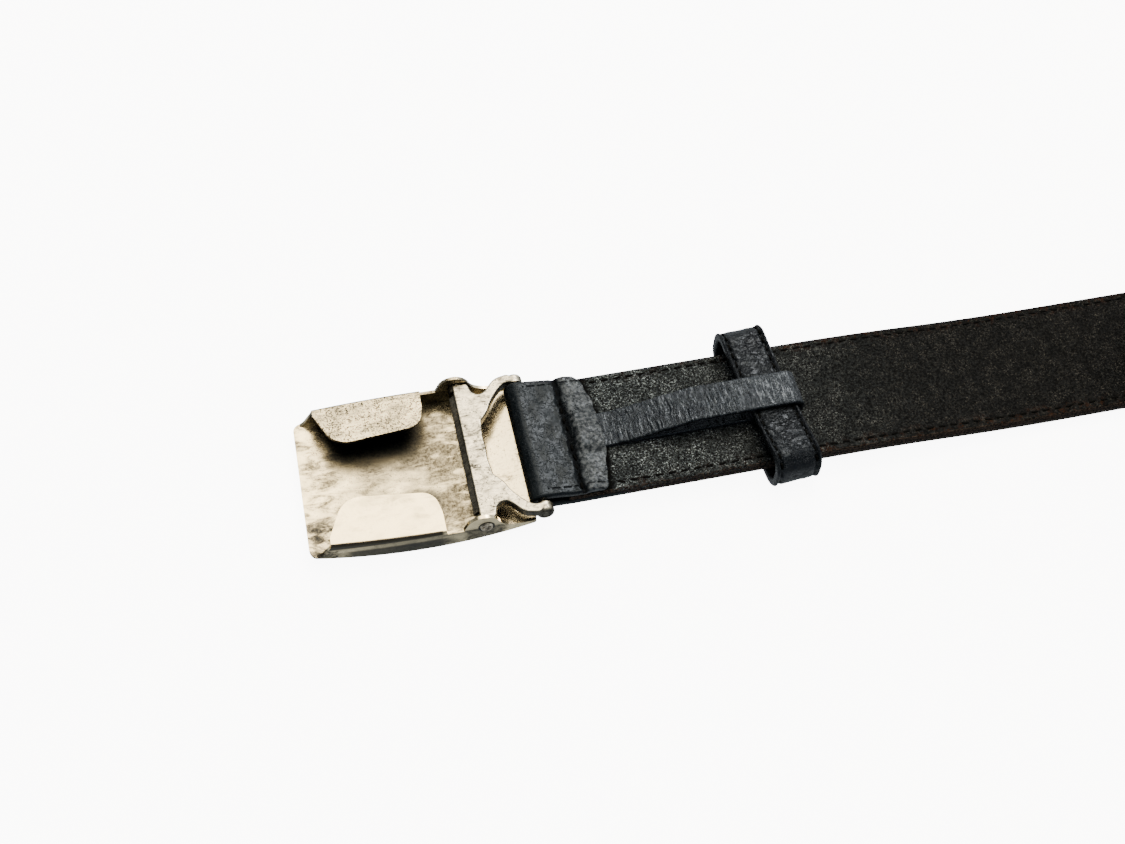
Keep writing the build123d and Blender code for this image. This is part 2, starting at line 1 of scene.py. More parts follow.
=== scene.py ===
"""A used black leather dress belt, lining side up, with its clamping plaque buckle, keeper and rolled tail.

Lengths are in millimetres: x along the belt from the buckle's free end, y across it and z above the table.
mesh() writes them in metres in the model's own frame. A route is a curve in a plane that a strip's section
follows: s is the distance along it, w the place across the strip and t the place through its thickness.
"""

import json
from math import acos, asin, atan2, cos, degrees, hypot, pi, radians, sin, sqrt

import bmesh
import bpy
import numpy as np
from mathutils import Matrix, Vector, noise


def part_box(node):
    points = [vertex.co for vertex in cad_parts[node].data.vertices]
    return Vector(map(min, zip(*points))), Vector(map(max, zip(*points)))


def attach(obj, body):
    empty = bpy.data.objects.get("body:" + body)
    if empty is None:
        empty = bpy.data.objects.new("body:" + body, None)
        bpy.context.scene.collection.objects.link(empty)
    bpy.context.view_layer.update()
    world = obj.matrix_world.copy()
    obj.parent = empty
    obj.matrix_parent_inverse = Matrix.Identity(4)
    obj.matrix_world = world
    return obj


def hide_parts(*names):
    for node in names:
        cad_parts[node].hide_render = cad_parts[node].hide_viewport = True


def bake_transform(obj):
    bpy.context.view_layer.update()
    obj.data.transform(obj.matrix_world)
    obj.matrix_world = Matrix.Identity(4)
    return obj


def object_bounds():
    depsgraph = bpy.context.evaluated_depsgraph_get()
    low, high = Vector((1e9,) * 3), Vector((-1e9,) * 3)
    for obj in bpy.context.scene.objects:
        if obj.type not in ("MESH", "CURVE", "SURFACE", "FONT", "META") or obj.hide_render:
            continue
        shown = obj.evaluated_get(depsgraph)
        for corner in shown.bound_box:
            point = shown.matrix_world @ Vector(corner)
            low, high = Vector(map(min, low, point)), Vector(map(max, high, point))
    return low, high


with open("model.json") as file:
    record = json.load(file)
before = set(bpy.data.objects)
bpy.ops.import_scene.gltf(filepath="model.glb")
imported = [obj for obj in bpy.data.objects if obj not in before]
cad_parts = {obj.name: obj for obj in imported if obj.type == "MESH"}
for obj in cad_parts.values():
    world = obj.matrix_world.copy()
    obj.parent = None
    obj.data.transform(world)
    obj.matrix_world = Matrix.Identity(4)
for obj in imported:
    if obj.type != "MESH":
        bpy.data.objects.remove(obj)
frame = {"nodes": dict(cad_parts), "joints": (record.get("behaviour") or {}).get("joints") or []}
CAD_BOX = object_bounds()

MM = 0.001
ROUTE_STEP = 0.25  # between the points that a route is made of
START_X = CAD_BOX[0][0] / MM  # the buckle's free end


def joint_place(name):
    """Where a hinge is: x and z."""
    x, _, z = next(j for j in frame["joints"] if j["name"] == name)["pos_m"]
    return x / MM - START_X, z / MM


def node_box(name):
    """Lowest and highest corner of a CAD node."""
    shift = np.array([START_X, 0, 0])
    return [np.array(corner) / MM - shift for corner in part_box(name)]


# ---- sizes read from the frame --------------------------------------------------------------------
PIN_X, PIN_Z = joint_place("clamp_pivot")
BAR_X, BAR_Z = joint_place("strap_hinge")
STRAP_WIDTH = 2 * node_box("outer_strap_tail")[1][1]
KEEPER_LOW, KEEPER_HIGH = node_box("keeper")
TETHER_LOW, TETHER_HIGH = node_box("tether")
ROLL_RIGHT, _, ROLL_TOP = node_box("outer_strap_tail")[1]

# ---- the strap's build ----------------------------------------------------------------------------
OUTER = 1.8
LINING = 1.5
STRAP = OUTER + LINING
UNDERSIDE = 2.1  # height of the lead's underside, where it rests on the keeper
STEP_START, STEP_END = 118.0, 184.0  # where the lead comes down from there to the table
ROLL_RADIUS = (ROLL_TOP - STRAP) / 2
ROLL_X = ROLL_RIGHT - ROLL_RADIUS - STRAP / 2
ROLL_PITCH = 4.0
ROLL_HALF_TURNS = 10
NAP_CLEARANCE = 0.03  # left between the roll's turns
TIP_CORNER = 8.0  # radius of the tip's corners, in plan
LOOP_RADIUS = node_box("strap_bar")[1][2] - BAR_Z + 0.1 + OUTER / 2
LOOP_CLOSE_X = 60.0  # where the loop's two layers meet
FLAP_END_X = 69.5  # free edge of the turned end
FLAP_CURVE = 1.8  # how far that edge curves back at its corners
FLAP_CORNER = 2.2
FLAP_SKIVE, SKIVE_LENGTH = 0.52, 5.5  # share of its thickness pared off at the edge, and over what length
FLAP_Z = UNDERSIDE + STRAP + OUTER / 2
SEAM_X = 61.8  # seam across the turned end
SEAM_DEPTH, SEAM_HALF_WIDTH = 0.75, 0.6
SEAM_INSET = 1.8  # of the seams along the strap's edges
TETHER_WIDTH = TETHER_HIGH[1] - TETHER_LOW[1]
STITCH_PITCH = 3.0


# =====================================================================================================
# Mesh helpers
# =====================================================================================================


def mesh(name, points, faces, material):
    """Smooth mesh object from points in millimetres."""
    data = bpy.data.meshes.new(name)
    places = (np.asarray(points, float) + np.array([START_X, 0, 0])) * MM
    data.from_pydata([tuple(p) for p in places], [], [tuple(map(int, f)) for f in faces])
    data.update()
    tidy = bmesh.new()
    tidy.from_mesh(data)
    bmesh.ops.recalc_face_normals(tidy, faces=tidy.faces)
    tidy.to_mesh(data)
    tidy.free()
    for polygon in data.polygons:
        polygon.use_smooth = True
    piece = bpy.data.objects.new(name, data)
    bpy.context.scene.collection.objects.link(piece)
    piece.data.materials.append(material)
    return piece


def soft_noise(points, size, seed):
    """Perlin noise of about -1 to 1 at each point, with features of the given size on each axis."""
    cells = np.asarray(points, float) / np.asarray(size, float) + seed
    return np.array([noise.noise(Vector(p)) for p in cells])


def line(start, end):
    """Points along a straight run."""
    count = max(2, int(hypot(end[0] - start[0], end[1] - start[1]) / ROUTE_STEP) + 1)
    return np.linspace(start, end, count)


def arc(centre, radius, from_angle, to_angle):
    """Points along an arc, with angles in degrees."""
    count = max(4, int(abs(radians(to_angle - from_angle)) * radius / ROUTE_STEP) + 1)
    angles = np.radians(np.linspace(from_angle, to_angle, count))
    return np.stack([centre[0] + radius * np.cos(angles), centre[1] + radius * np.sin(angles)], axis=1)


class Route:
    """A curve in a plane, with a place and a left-hand normal for every distance along it."""

    def __init__(self, *runs):
        points = np.concatenate(runs)
        steps = np.linalg.norm(np.diff(points, axis=0), axis=1)
        keep = np.concatenate([[True], steps > 1e-6])
        self.points = points[keep]
        steps = np.linalg.norm(np.diff(self.points, axis=0), axis=1)
        self.distance = np.concatenate([[0], np.cumsum(steps)])
        tangent = np.gradient(self.points, self.distance, axis=0)
        tangent /= np.linalg.norm(tangent, axis=1)[:, None]
        self.normals = np.stack([-tangent[:, 1], tangent[:, 0]], axis=1)
        self.length = self.distance[-1]

    def at(self, s, table):
        return np.stack([np.interp(s, self.distance, table[:, k]) for k in (0, 1)], axis=-1)

    def place(self, s):
        return self.at(s, self.points)

    def normal(self, s):
        return self.at(s, self.normals)


def section(width, thickness, corner, across_step):
    """Closed section with rounded corners: its (w, t) pairs round the top run, far edge, bottom run and
    near edge, and the number of steps in a run."""
    half, rise = width / 2, thickness / 2
    count = max(2, int(round((width - 2 * corner) / across_step)))
    top = [(w, rise) for w in np.linspace(-half + corner, half - corner, count + 1)]
    edge = []
    for start, centre_t in ((90, rise - corner), (0, -rise + corner)):
        for angle in (start - 22.5, start - 45, start - 67.5, start - 90):
            turn = radians(angle)
            edge.append((half - corner + corner * cos(turn), centre_t + corner * sin(turn)))
    half_ring = top + edge[:-1]
    return np.array(half_ring + [(-w, -t) for w, t in half_ring]), count


def strip(name, route, at, profile, material, lift=None, slide=None, form=None, plane="xz"):
    """Sweeps a section along a route that lies in the xz or yz plane, with rows at the given distances.
    form reshapes the section, slide moves a point along the route and lift raises it along the normal, each
    as a function of s, w and t."""
    ring, count = profile
    s = np.repeat(np.asarray(at, float)[:, None], len(ring), axis=1)
    w = np.repeat(ring[None, :, 0], len(s), axis=0)
    t = np.repeat(ring[None, :, 1], len(s), axis=0)
    if form:
        w, t = form(s, w, t)
    if slide:
        s = s + slide(s, w)
    if lift:
        t = t + lift(s, w, t)
    flat = route.place(s) + route.normal(s) * t[..., None]
    if plane == "xz":
        points = np.stack([flat[..., 0], w, flat[..., 1]], axis=-1)
    else:
        points = np.stack([w, flat[..., 0], flat[..., 1]], axis=-1)
    rows, size = len(s), len(ring)
    faces = []
    for a in range(0, (rows - 1) * size, size):
        for j in range(size):
            k = (j + 1) % size
            faces.append((a + j, a + k, a + size + k, a + size + j))
    far = size // 2 + count
    for base in (0, (rows - 1) * size):  # each end: quads between the runs, and one face per rounded edge
        for k in range(count):
            faces.append((base + k, base + k + 1, base + far - k - 1, base + far - k))
        faces.append([base + k for k in range(count, size // 2 + 1)])
        faces.append([base + k % size for k in range(far, size + 1)])
    return mesh(name, points.reshape(-1, 3), faces, material)


def stitch_mesh(name, places, material, length=2.3, width=0.6, height=0.34):
    """One mesh of many stitches, each a bead that dips into the leather at its ends and leans a little to
    its own side. A place is a centre, a direction and an upward direction."""
    rings, around = 7, 8  # points along a stitch and round it
    points, faces = [], []
    for number, (centre, along, up) in enumerate(places):
        along, up = np.array(along, float), np.array(up, float)
        side = np.cross(up, along)
        lean = 0.12 * sin(number * 12.9898)
        along = along + side * lean
        base = len(points)
        for i in range(rings):
            u = -1 + 2 * i / (rings - 1)
            swell = sqrt(max(0.0, 1 - u**4)) * 0.92 + 0.08
            dip = -0.9 * height * u**4
            for j in range(around):
                angle = 2 * pi * j / around
                sideways = side * cos(angle) * width / 2 * swell
                offset = sideways + up * (sin(angle) * height / 2 * swell + dip)
                points.append(np.array(centre) + along * u * length / 2 + offset)
        for i in range(rings - 1):
            for j in range(around):
                a, b = base + i * around, base + (i + 1) * around
                faces.append((a + j, a + (j + 1) % around, b + (j + 1) % around, b + j))
        faces.append([base + j for j in range(around)])
        faces.append([base + (rings - 1) * around + j for j in range(around)])
    return mesh(name, points, faces, material)


# =====================================================================================================
# Materials
# =====================================================================================================


class Nodes:
    """A material's or world's nodes: add() makes a node and joins its inputs by name, and the rest are
    short names for what is used most. Sizes and places are in millimetres, but axis() gives metres."""

    def __init__(self, owner, coordinates="Object"):
        owner.use_nodes = True
        self.owner = owner
        self.tree = owner.node_tree
        self.place = self.add("TexCoord").outputs[coordinates]

    def add(self, kind, inputs=None, **settings):
        node = self.tree.nodes.new("ShaderNode" + kind)
        for key, value in settings.items():
            setattr(node, key, value)
        for key, value in (inputs or {}).items():
            self.join(node.inputs[key], value)
        return node

    def join(self, socket, value):
        if isinstance(value, bpy.types.NodeSocket):
            self.tree.links.new(value, socket)
        else:
            socket.default_value = value

    def set(self, **inputs):
        """Sets the shader's own inputs."""
        shader = self.tree.nodes["Principled BSDF"]
        for key, value in inputs.items():
            self.join(shader.inputs[key.replace("_", " ")], value)

    def math(self, operation, a, b=0.0):
        return self.add("Math", {0: a, 1: b}, operation=operation).outputs[0]

    def times(self, value, *factors):
        for factor in factors:
            value = self.math("MULTIPLY", value, factor)
        return value

    def plus(self, a, b):
        return self.math("ADD", a, b)

    def minus(self, a, b):
        return self.math("SUBTRACT", a, b)

    def larger(self, a, b):
        return self.math("MAXIMUM", a, b)

    def away(self, value, centre):
        """How far a value is from a centre, to either side."""
        return self.math("ABSOLUTE", self.minus(value, centre))

    def shares(self, a, b, share):
        """Mean of two values, with a's share of it."""
        return self.plus(self.times(a, share), self.times(b, 1 - share))

    def ramp(self, value, low, high, from_value=0.0, to_value=1.0):
        """Smooth step from from_value at low to to_value at high."""
        inputs = {"Value": value, "From Min": low, "From Max": high, "To Min": from_value,
                  "To Max": to_value}
        return self.add("MapRange", inputs, interpolation_type="SMOOTHSTEP").outputs["Result"]

    def fall(self, value, low, high, top=1.0):
        """Smooth step from top at low down to 0 at high."""
        return self.ramp(value, low, high, top, 0.0)

    def mix(self, factor, a, b):
        return self.add("Mix", {0: factor, 6: a, 7: b}, data_type="RGBA").outputs[2]

    def noise(self, size, detail=3.0, rough=0.55, distort=0.0, stretch=None):
        vector = self.place
        if stretch:
            vector = self.add("Mapping", {"Vector": vector, "Scale": stretch}).outputs["Vector"]
        inputs = {"Vector": vector, "Scale": 1 / (size * MM), "Detail": detail, "Roughness": rough,
                  "Distortion": distort}
        return self.add("TexNoise", inputs).outputs["Fac"]

    def cell_edges(self, size):
        """Distance to the nearest edge between cells."""
        inputs = {"Vector": self.place, "Scale": 1 / (size * MM), "Randomness": 1.0}
        return self.add("TexVoronoi", inputs, feature="DISTANCE_TO_EDGE").outputs["Distance"]

    def bump(self, height, depth, strength=1.0, after=None):
        inputs = {"Height": height, "Distance": depth * MM, "Strength": strength}
        if after is not None:
            inputs["Normal"] = after
        return self.add("Bump", inputs).outputs["Normal"]

    def axis(self, index):
        return self.add("SeparateXYZ", {"Vector": self.place}).outputs[index]

    def along(self, x=0.0):
        """Distance along the belt from a given place."""
        return self.minus(self.math("DIVIDE", self.axis(0), MM), START_X + x)

    def across(self, low, high, from_value=0.0, to_value=1.0):
        """Smooth step between two places across the belt."""
        return self.ramp(self.axis(1), low * MM, high * MM, from_value, to_value)

    def height(self, low, high, from_value=0.0, to_value=1.0):
        """Smooth step between two heights above the table."""
        return self.ramp(self.axis(2), low * MM, high * MM, from_value, to_value)

    def facing(self, index, kind="Normal"):
        """One component of the surface's direction."""
        return self.add("SeparateXYZ", {"Vector": self.add("NewGeometry").outputs[kind]}).outputs[index]


def rgb(r, g, b):
    return (r, g, b, 1.0)


def scaled(colour, *factors):
    return rgb(*(c * factor for c, factor in zip(colour, factors)))


def worn(colour, gain, lift):
    """A dye's colour where it is rubbed thin."""
    return rgb(*(c * gain + lift for c in colour))


# ---- leather --------------------------------------------------------------------------------------
# painted shade in black along the creases of wrinkled leather
CREASE_SHADE_BLACK = rgb(0.0004, 0.0004, 0.0004)
# painted shade in black in the seam's furrow and in the dents of stitches
FURROW_SHADE_BLACK = rgb(0.0002, 0.0002, 0.0002)
# rubbed wear with a painted sheen: a grey far lighter than the dye
RUBBED_SHEEN_GREY = rgb(0.064, 0.070, 0.076)
RAW_EDGE_DARK, RAW_EDGE_TAN = rgb(0.004, 0.0035, 0.003), rgb(0.075, 0.052, 0.040)
COOL_SHEEN = rgb(0.71, 0.82, 1.0)
DENT_INSET = 1.7  # of the turned end's two rows of dents, from its sides
DENT_HALF_PITCH = 1.3
DENT_REACH = 8.0  # how far the rows run from the seam towards the buckle


def wrinkled(n, tone, normal, stretch):
    """Folds across a narrow strip, with painted shade in black along their creases and painted shade where
    it leaves the turned end. Gives the new tone and normal."""
    shade = n.times(n.fall(n.along(FLAP_END_X), -1.0, 1.6), 0.9)
    tone = n.mix(shade, tone, rgb(0, 0, 0))
    folds = n.shares(n.noise(0.55, 4.0, 0.65, 0.5, stretch), n.noise(1.5, 3.0, 0.6, 0.6, stretch), 0.65)
    # creases of the folds: a bump, and painted shade in black on the tone
    creases_and_shade = n.ramp(n.away(folds, 0.5), 0.0, 0.055)
    normal = n.bump(creases_and_shade, 0.11, 1.0, n.bump(folds, 0.34, 0.9, normal))
    return n.mix(creases_and_shade, CREASE_SHADE_BLACK, tone), normal


def turned_end(n, tone, polish, normal):
    """The strap's own wear and painted shade: painted shade in black along the ragged furrow of the turned
    end's seam and in dents of stitches near its sides, rubbed patches beyond the seam painted grey as wear
    and sheen, and raw brown flanks. Gives the new tone, polish and normal."""
    wobble = n.times(n.minus(n.noise(2.4, 3.0, 0.7), 0.5), 2.4)
    ragged = n.times(n.minus(n.noise(0.5, 3.0, 0.7), 0.5), 1.3)
    from_seam = n.plus(n.along(SEAM_X), n.plus(wobble, ragged))
    on_top = n.height(FLAP_Z - 0.2, FLAP_Z)
    # painted shade along the seam's ragged furrow
    furrow = n.times(n.fall(n.math("ABSOLUTE", from_seam), 0.3, 0.8), on_top)
    side = n.math("DIVIDE", n.math("ABSOLUTE", n.axis(1)), MM)
    row = n.fall(n.away(side, STRAP_WIDTH / 2 - DENT_INSET), 0.05, 0.3)
    dashes = n.ramp(n.math("PINGPONG", n.along(), DENT_HALF_PITCH), 0.25, 0.5)
    reach = n.times(n.ramp(n.along(SEAM_X - DENT_REACH), 0.0, 0.6), on_top)
    # the furrow and the rows of stitch dents: painted shade in black, a dip in the bump and more roughness
    groove = n.larger(furrow, n.times(n.times(row, dashes, reach), 0.8))
    # rubbed patches past the seam: wear, and a painted sheen in their grey tone
    rubbed = n.times(n.ramp(from_seam, 0.6, 1.8), n.fall(n.along(FLAP_END_X), 0.5, 3.0), on_top,
                     n.ramp(n.noise(0.9, 4.0, 0.7), 0.42, 0.6))
    raw = n.times(n.ramp(side, STRAP_WIDTH / 2 - 0.3, STRAP_WIDTH / 2 - 0.1),
                  n.ramp(n.along(FLAP_END_X), 0.0, 4.0))
    raw_tone = n.mix(n.ramp(n.noise(0.5, 4.0, 0.75), 0.45, 0.6), RAW_EDGE_DARK, RAW_EDGE_TAN)
    tone = n.mix(raw, n.mix(groove, n.mix(rubbed, tone, RUBBED_SHEEN_GREY), FURROW_SHADE_BLACK), raw_tone)
    polish = n.minus(polish, n.times(rubbed, 0.07))
    polish = n.plus(n.plus(polish, n.times(groove, 0.6)), n.times(raw, 0.5))
    return tone, polish, n.bump(n.fall(groove, 0.0, 1.0), 0.5, 0.9, normal)


def leather(name, colour, gloss, grain_size, grain_depth, crease, sheen, chape=False, wrinkles=None):
    """Smooth dyed leather: pebbled grain, fine creases and a hand-polished sheen that varies."""
    n = Nodes(bpy.data.materials.new(name))
    wear = n.noise(7.0, 5.0, 0.6)
    fine = n.noise(0.55, 3.0, 0.65)
    tone = n.mix(n.ramp(wear, 0.42, 0.72, 0.0, 0.7), rgb(*colour), worn(colour, 2.5, 0.004))
    tone = n.mix(n.ramp(fine, 0.5, 0.72, 0.0, 0.6), tone, worn(colour, 2.0, 0.006))
    polish = n.ramp(n.shares(wear, fine, 0.6), 0.3, 0.7, gloss - 0.08, gloss + 0.10)
    creases = n.ramp(n.cell_edges(grain_size * 3.3), 0.0, 0.14)
    furrows = n.ramp(n.away(n.noise(1.8, 4.0, 0.65, 0.8), 0.5), 0.0, 0.03)
    normal = n.bump(n.noise(0.4, 2.0), grain_depth * 0.4, 0.9)
    normal = n.bump(n.noise(4.5, 2.0, 0.5), 0.30, 0.9, normal)
    normal = n.bump(n.noise(1.3, 2.0, 0.5), grain_depth, 1.0, normal)
    normal = n.bump(creases, crease * 0.4, 0.9, normal)
    normal = n.bump(furrows, crease, 0.9, normal)
    if wrinkles:
        tone, normal = wrinkled(n, tone, normal, wrinkles)
    if chape:
        tone, polish, normal = turned_end(n, tone, polish, normal)
    n.set(Base_Color=tone, Roughness=polish, Normal=normal, Specular_IOR_Level=sheen,
          Specular_Tint=COOL_SHEEN)
    return n.owner


# ---- lining ---------------------------------------------------------------------------------------
# painted shade in the nap's hollows
NAP_HOLLOW_SHADE = rgb(0.0008, 0.0009, 0.0010)
NAP_NEAR, NAP_FAR = rgb(0.026, 0.030, 0.032), rgb(0.0095, 0.0100, 0.0105)
TAN_FLECKS = rgb(0.030, 0.029, 0.027), rgb(0.100, 0.094, 0.084)
GREY_FLECKS = rgb(0.110, 0.130, 0.138), rgb(0.40, 0.46, 0.48)
EDGE_RUST = rgb(0.028, 0.011, 0.005)
SEAM_BAND = rgb(0.0008, 0.0007, 0.0006)
# painted shadow of the turned end's edge on the lining
FLAP_EDGE_SHADOW = rgb(0.0003, 0.0003, 0.0003)
FLANK_BROWN = rgb(0.065, 0.045, 0.034)
DUST_START = 66.0  # where the lining comes out from under the turned end, dusty at first
DUST_LENGTH = 85.0
RUST_START, RUST_LENGTH = 72.0, 60.0  # where the edges grow rustier, and over what length


def suede(name):
    """Rough side of split leather: black-brown nap with fine tan and grey flecks, painted shade in the
    nap's hollows, dustier near the chape, rust brown in patches along the edges, and a painted shadow of
    the turned end's edge."""
    n = Nodes(bpy.data.materials.new(name))
    side = n.math("ABSOLUTE", n.axis(1))  # in metres, as is half
    half = STRAP_WIDTH / 2 * MM
    nap = n.noise(0.5, 4.0, 0.75)
    flecks = n.ramp(n.noise(0.42, 4.0, 0.85, 0.6), 0.53, 0.62)
    clumps = n.ramp(n.noise(3.2, 4.0, 0.7), 0.40, 0.62)
    dusty = n.fall(n.along(DUST_START), 0.0, DUST_LENGTH)
    # nap colour, with painted shade where the nap's bump is low
    dark = n.mix(n.ramp(nap, 0.44, 0.62), NAP_HOLLOW_SHADE,
                 n.mix(n.ramp(n.along(DUST_START), 0.0, 110.0), NAP_NEAR, NAP_FAR))
    light = n.mix(dusty, n.mix(clumps, *TAN_FLECKS), n.mix(clumps, *GREY_FLECKS))
    share = n.plus(n.ramp(clumps, 0.0, 1.0, 0.44, 0.58), n.times(dusty, 0.30))
    base = n.mix(n.times(flecks, share), dark, light)
    edge = n.times(n.ramp(side, half * 0.74, half * 0.985),
                   n.ramp(n.along(RUST_START), 0.0, RUST_LENGTH, 0.45, 1.0))
    patches = n.ramp(n.noise(3.0, 4.0, 0.7), 0.48, 0.62)
    rust = n.times(edge, patches, n.ramp(n.noise(0.45, 2.0, 0.7), 0.42, 0.6))
    stitched = n.fall(n.away(side, half - SEAM_INSET * MM), 0.3 * MM, 0.7 * MM, 0.15)
    base = n.mix(stitched, n.mix(rust, base, EDGE_RUST), SEAM_BAND)
    # painted shadow along the turned end's curved free edge
    curve = n.times(n.math("POWER", n.math("DIVIDE", side, half), 2.0), FLAP_CURVE)
    base = n.mix(n.fall(n.plus(n.along(FLAP_END_X), curve), 0.4, 2.0, 0.97), base, FLAP_EDGE_SHADOW)
    flank = n.times(n.ramp(side, half - 0.3 * MM, half - 0.1 * MM), n.ramp(nap, 0.44, 0.6))
    fluff = n.bump(n.noise(0.18, 2.0, 0.6), 0.10, 0.7, n.bump(nap, 0.35, 1.0))
    n.set(Base_Color=n.mix(flank, base, FLANK_BROWN), Roughness=0.9, Specular_IOR_Level=0.05, Normal=fluff)
    return n.owner


# ---- metal ----------------------------------------------------------------------------------------
# near black: painted shade on undersides, sides, the fold and round the tabs, and the pins' rings and
# corner stain
PAINTED_SHADE_AND_SMUT = rgb(0.018, 0.018, 0.017)
# Painted shadow on the plaque's floor under the far tab, painted shade round the near tab, and a dirt stain
# in its near
# corner: centre and half size in plan, and how far each reaches beyond that.
FAR_TAB_SHADOW = (17.5, 14.0), (6.0, 5.5), 10.0
NEAR_TAB_SHADE = (19.0, -14.0), (9.4, 7.2), 3.5
CORNER_DIRT = (4.0, -13.5), (1.6, 3.0), 4.0
TABS_Z = 5.0, 5.6  # heights between which the floor's looks change to the tabs'
TABS_Y = -4.0, 4.0  # and the places across the belt between which the near tab's change to the far one's
CLAMP_SIDE = 22.0, 36.0  # places along the belt between which the floor grows browner
PAST_CLAMP = 41.0, 45.0  # and between which it grows clean again
FOLD_END = 29.0, 30.0  # of the painted shade line along the near wall's fold
PIN_HEAD_RADIUS = 1.65


def near_box(n, centre, half, reach):
    """From 1 inside a box in plan to 0 at some reach outside it."""
    gaps = []
    for value, middle, size in zip((n.along(), n.math("DIVIDE", n.axis(1), MM)), centre, half):
        gap = n.larger(n.minus(n.away(value, middle), size), 0.0)
        gaps.append(n.math("POWER", gap, 2.0))
    return n.fall(n.math("SQRT", n.plus(*gaps)), 0.0, reach)


def plaque_zones(n, level):
    """The plaque's dirt, cloud shift, dust and pitting. Its floor is browner towards the clamp and in its
    near corner, its clouds darker from the free end on and lighter past the clamp, the far tab darker,
    dusty and pitted, the near tab lighter and clean."""
    place = n.along()
    clamp_side = n.times(n.ramp(place, *CLAMP_SIDE), n.fall(place, *PAST_CLAMP))
    corner = n.times(n.fall(place, 2.0, 13.0), n.across(-17.0, -8.0, 1.0, 0.0))
    browner = n.plus(n.times(clamp_side, 0.09), n.times(corner, 0.13))
    tabs = n.height(*TABS_Z)
    near_tab = n.times(tabs, n.across(*TABS_Y, 1.0, 0.0))
    far_tab = n.times(tabs, n.across(*TABS_Y))
    elsewhere = n.minus(1.0, tabs)
    dirt = n.times(n.ramp(n.plus(level, browner), 0.50, 0.64), elsewhere)
    # clouds darker from the free end towards the middle, and lighter again past the clamp
    cloud_shift = n.times(n.ramp(place, 3.0, 20.0, -0.04, 0.13), n.ramp(place, 40.0, 45.0, 1.0, -1.6), elsewhere)
    cloud_shift = n.plus(cloud_shift, n.minus(n.times(far_tab, 0.05), n.times(near_tab, 0.08)))
    dust = n.minus(n.plus(0.8, n.times(far_tab, 1.4)), n.times(near_tab, 0.6))
    return dirt, cloud_shift, dust, n.times(far_tab, 0.05)


def plaque_shade_and_smut(n, streaks, fine):
    """Two masks: painted shade along the fold above the near wall; and a dark ring round each pin's head,
    painted shadow under the far tab, painted shade round the near tab, and a dirt stain in the near corner."""
    # painted shade along the fold: faces turned towards the near side, below the tabs
    fold = n.times(n.fall(n.facing(1), -0.35, -0.12), n.height(*TABS_Z, 0.0, 0.95))
    fold = n.times(fold, n.fall(n.along(), *FOLD_END))
    rise = n.minus(n.math("DIVIDE", n.axis(2), MM), PIN_Z)
    from_pin = n.math("SQRT", n.plus(n.math("POWER", n.along(PIN_X), 2.0), n.math("POWER", rise, 2.0)))
    ring = n.fall(n.away(from_pin, PIN_HEAD_RADIUS), 0.1, 0.4)
    # painted shadow under the far tab and painted shade round the near tab
    shade_and_smut = n.larger(n.times(near_box(n, *FAR_TAB_SHADOW), 0.97), n.times(near_box(n, *NEAR_TAB_SHADE), 0.90))
    stain = n.times(near_box(n, *CORNER_DIRT), n.ramp(streaks, 0.42, 0.56, 0.5, 0.98))
    shade_and_smut = n.larger(shade_and_smut, n.times(stain, n.ramp(fine, 0.36, 0.58, 0.85, 0.97)))
    return fold, n.larger(ring, n.times(shade_and_smut, n.height(3.5, 4.5, 1.0, 0.0)))


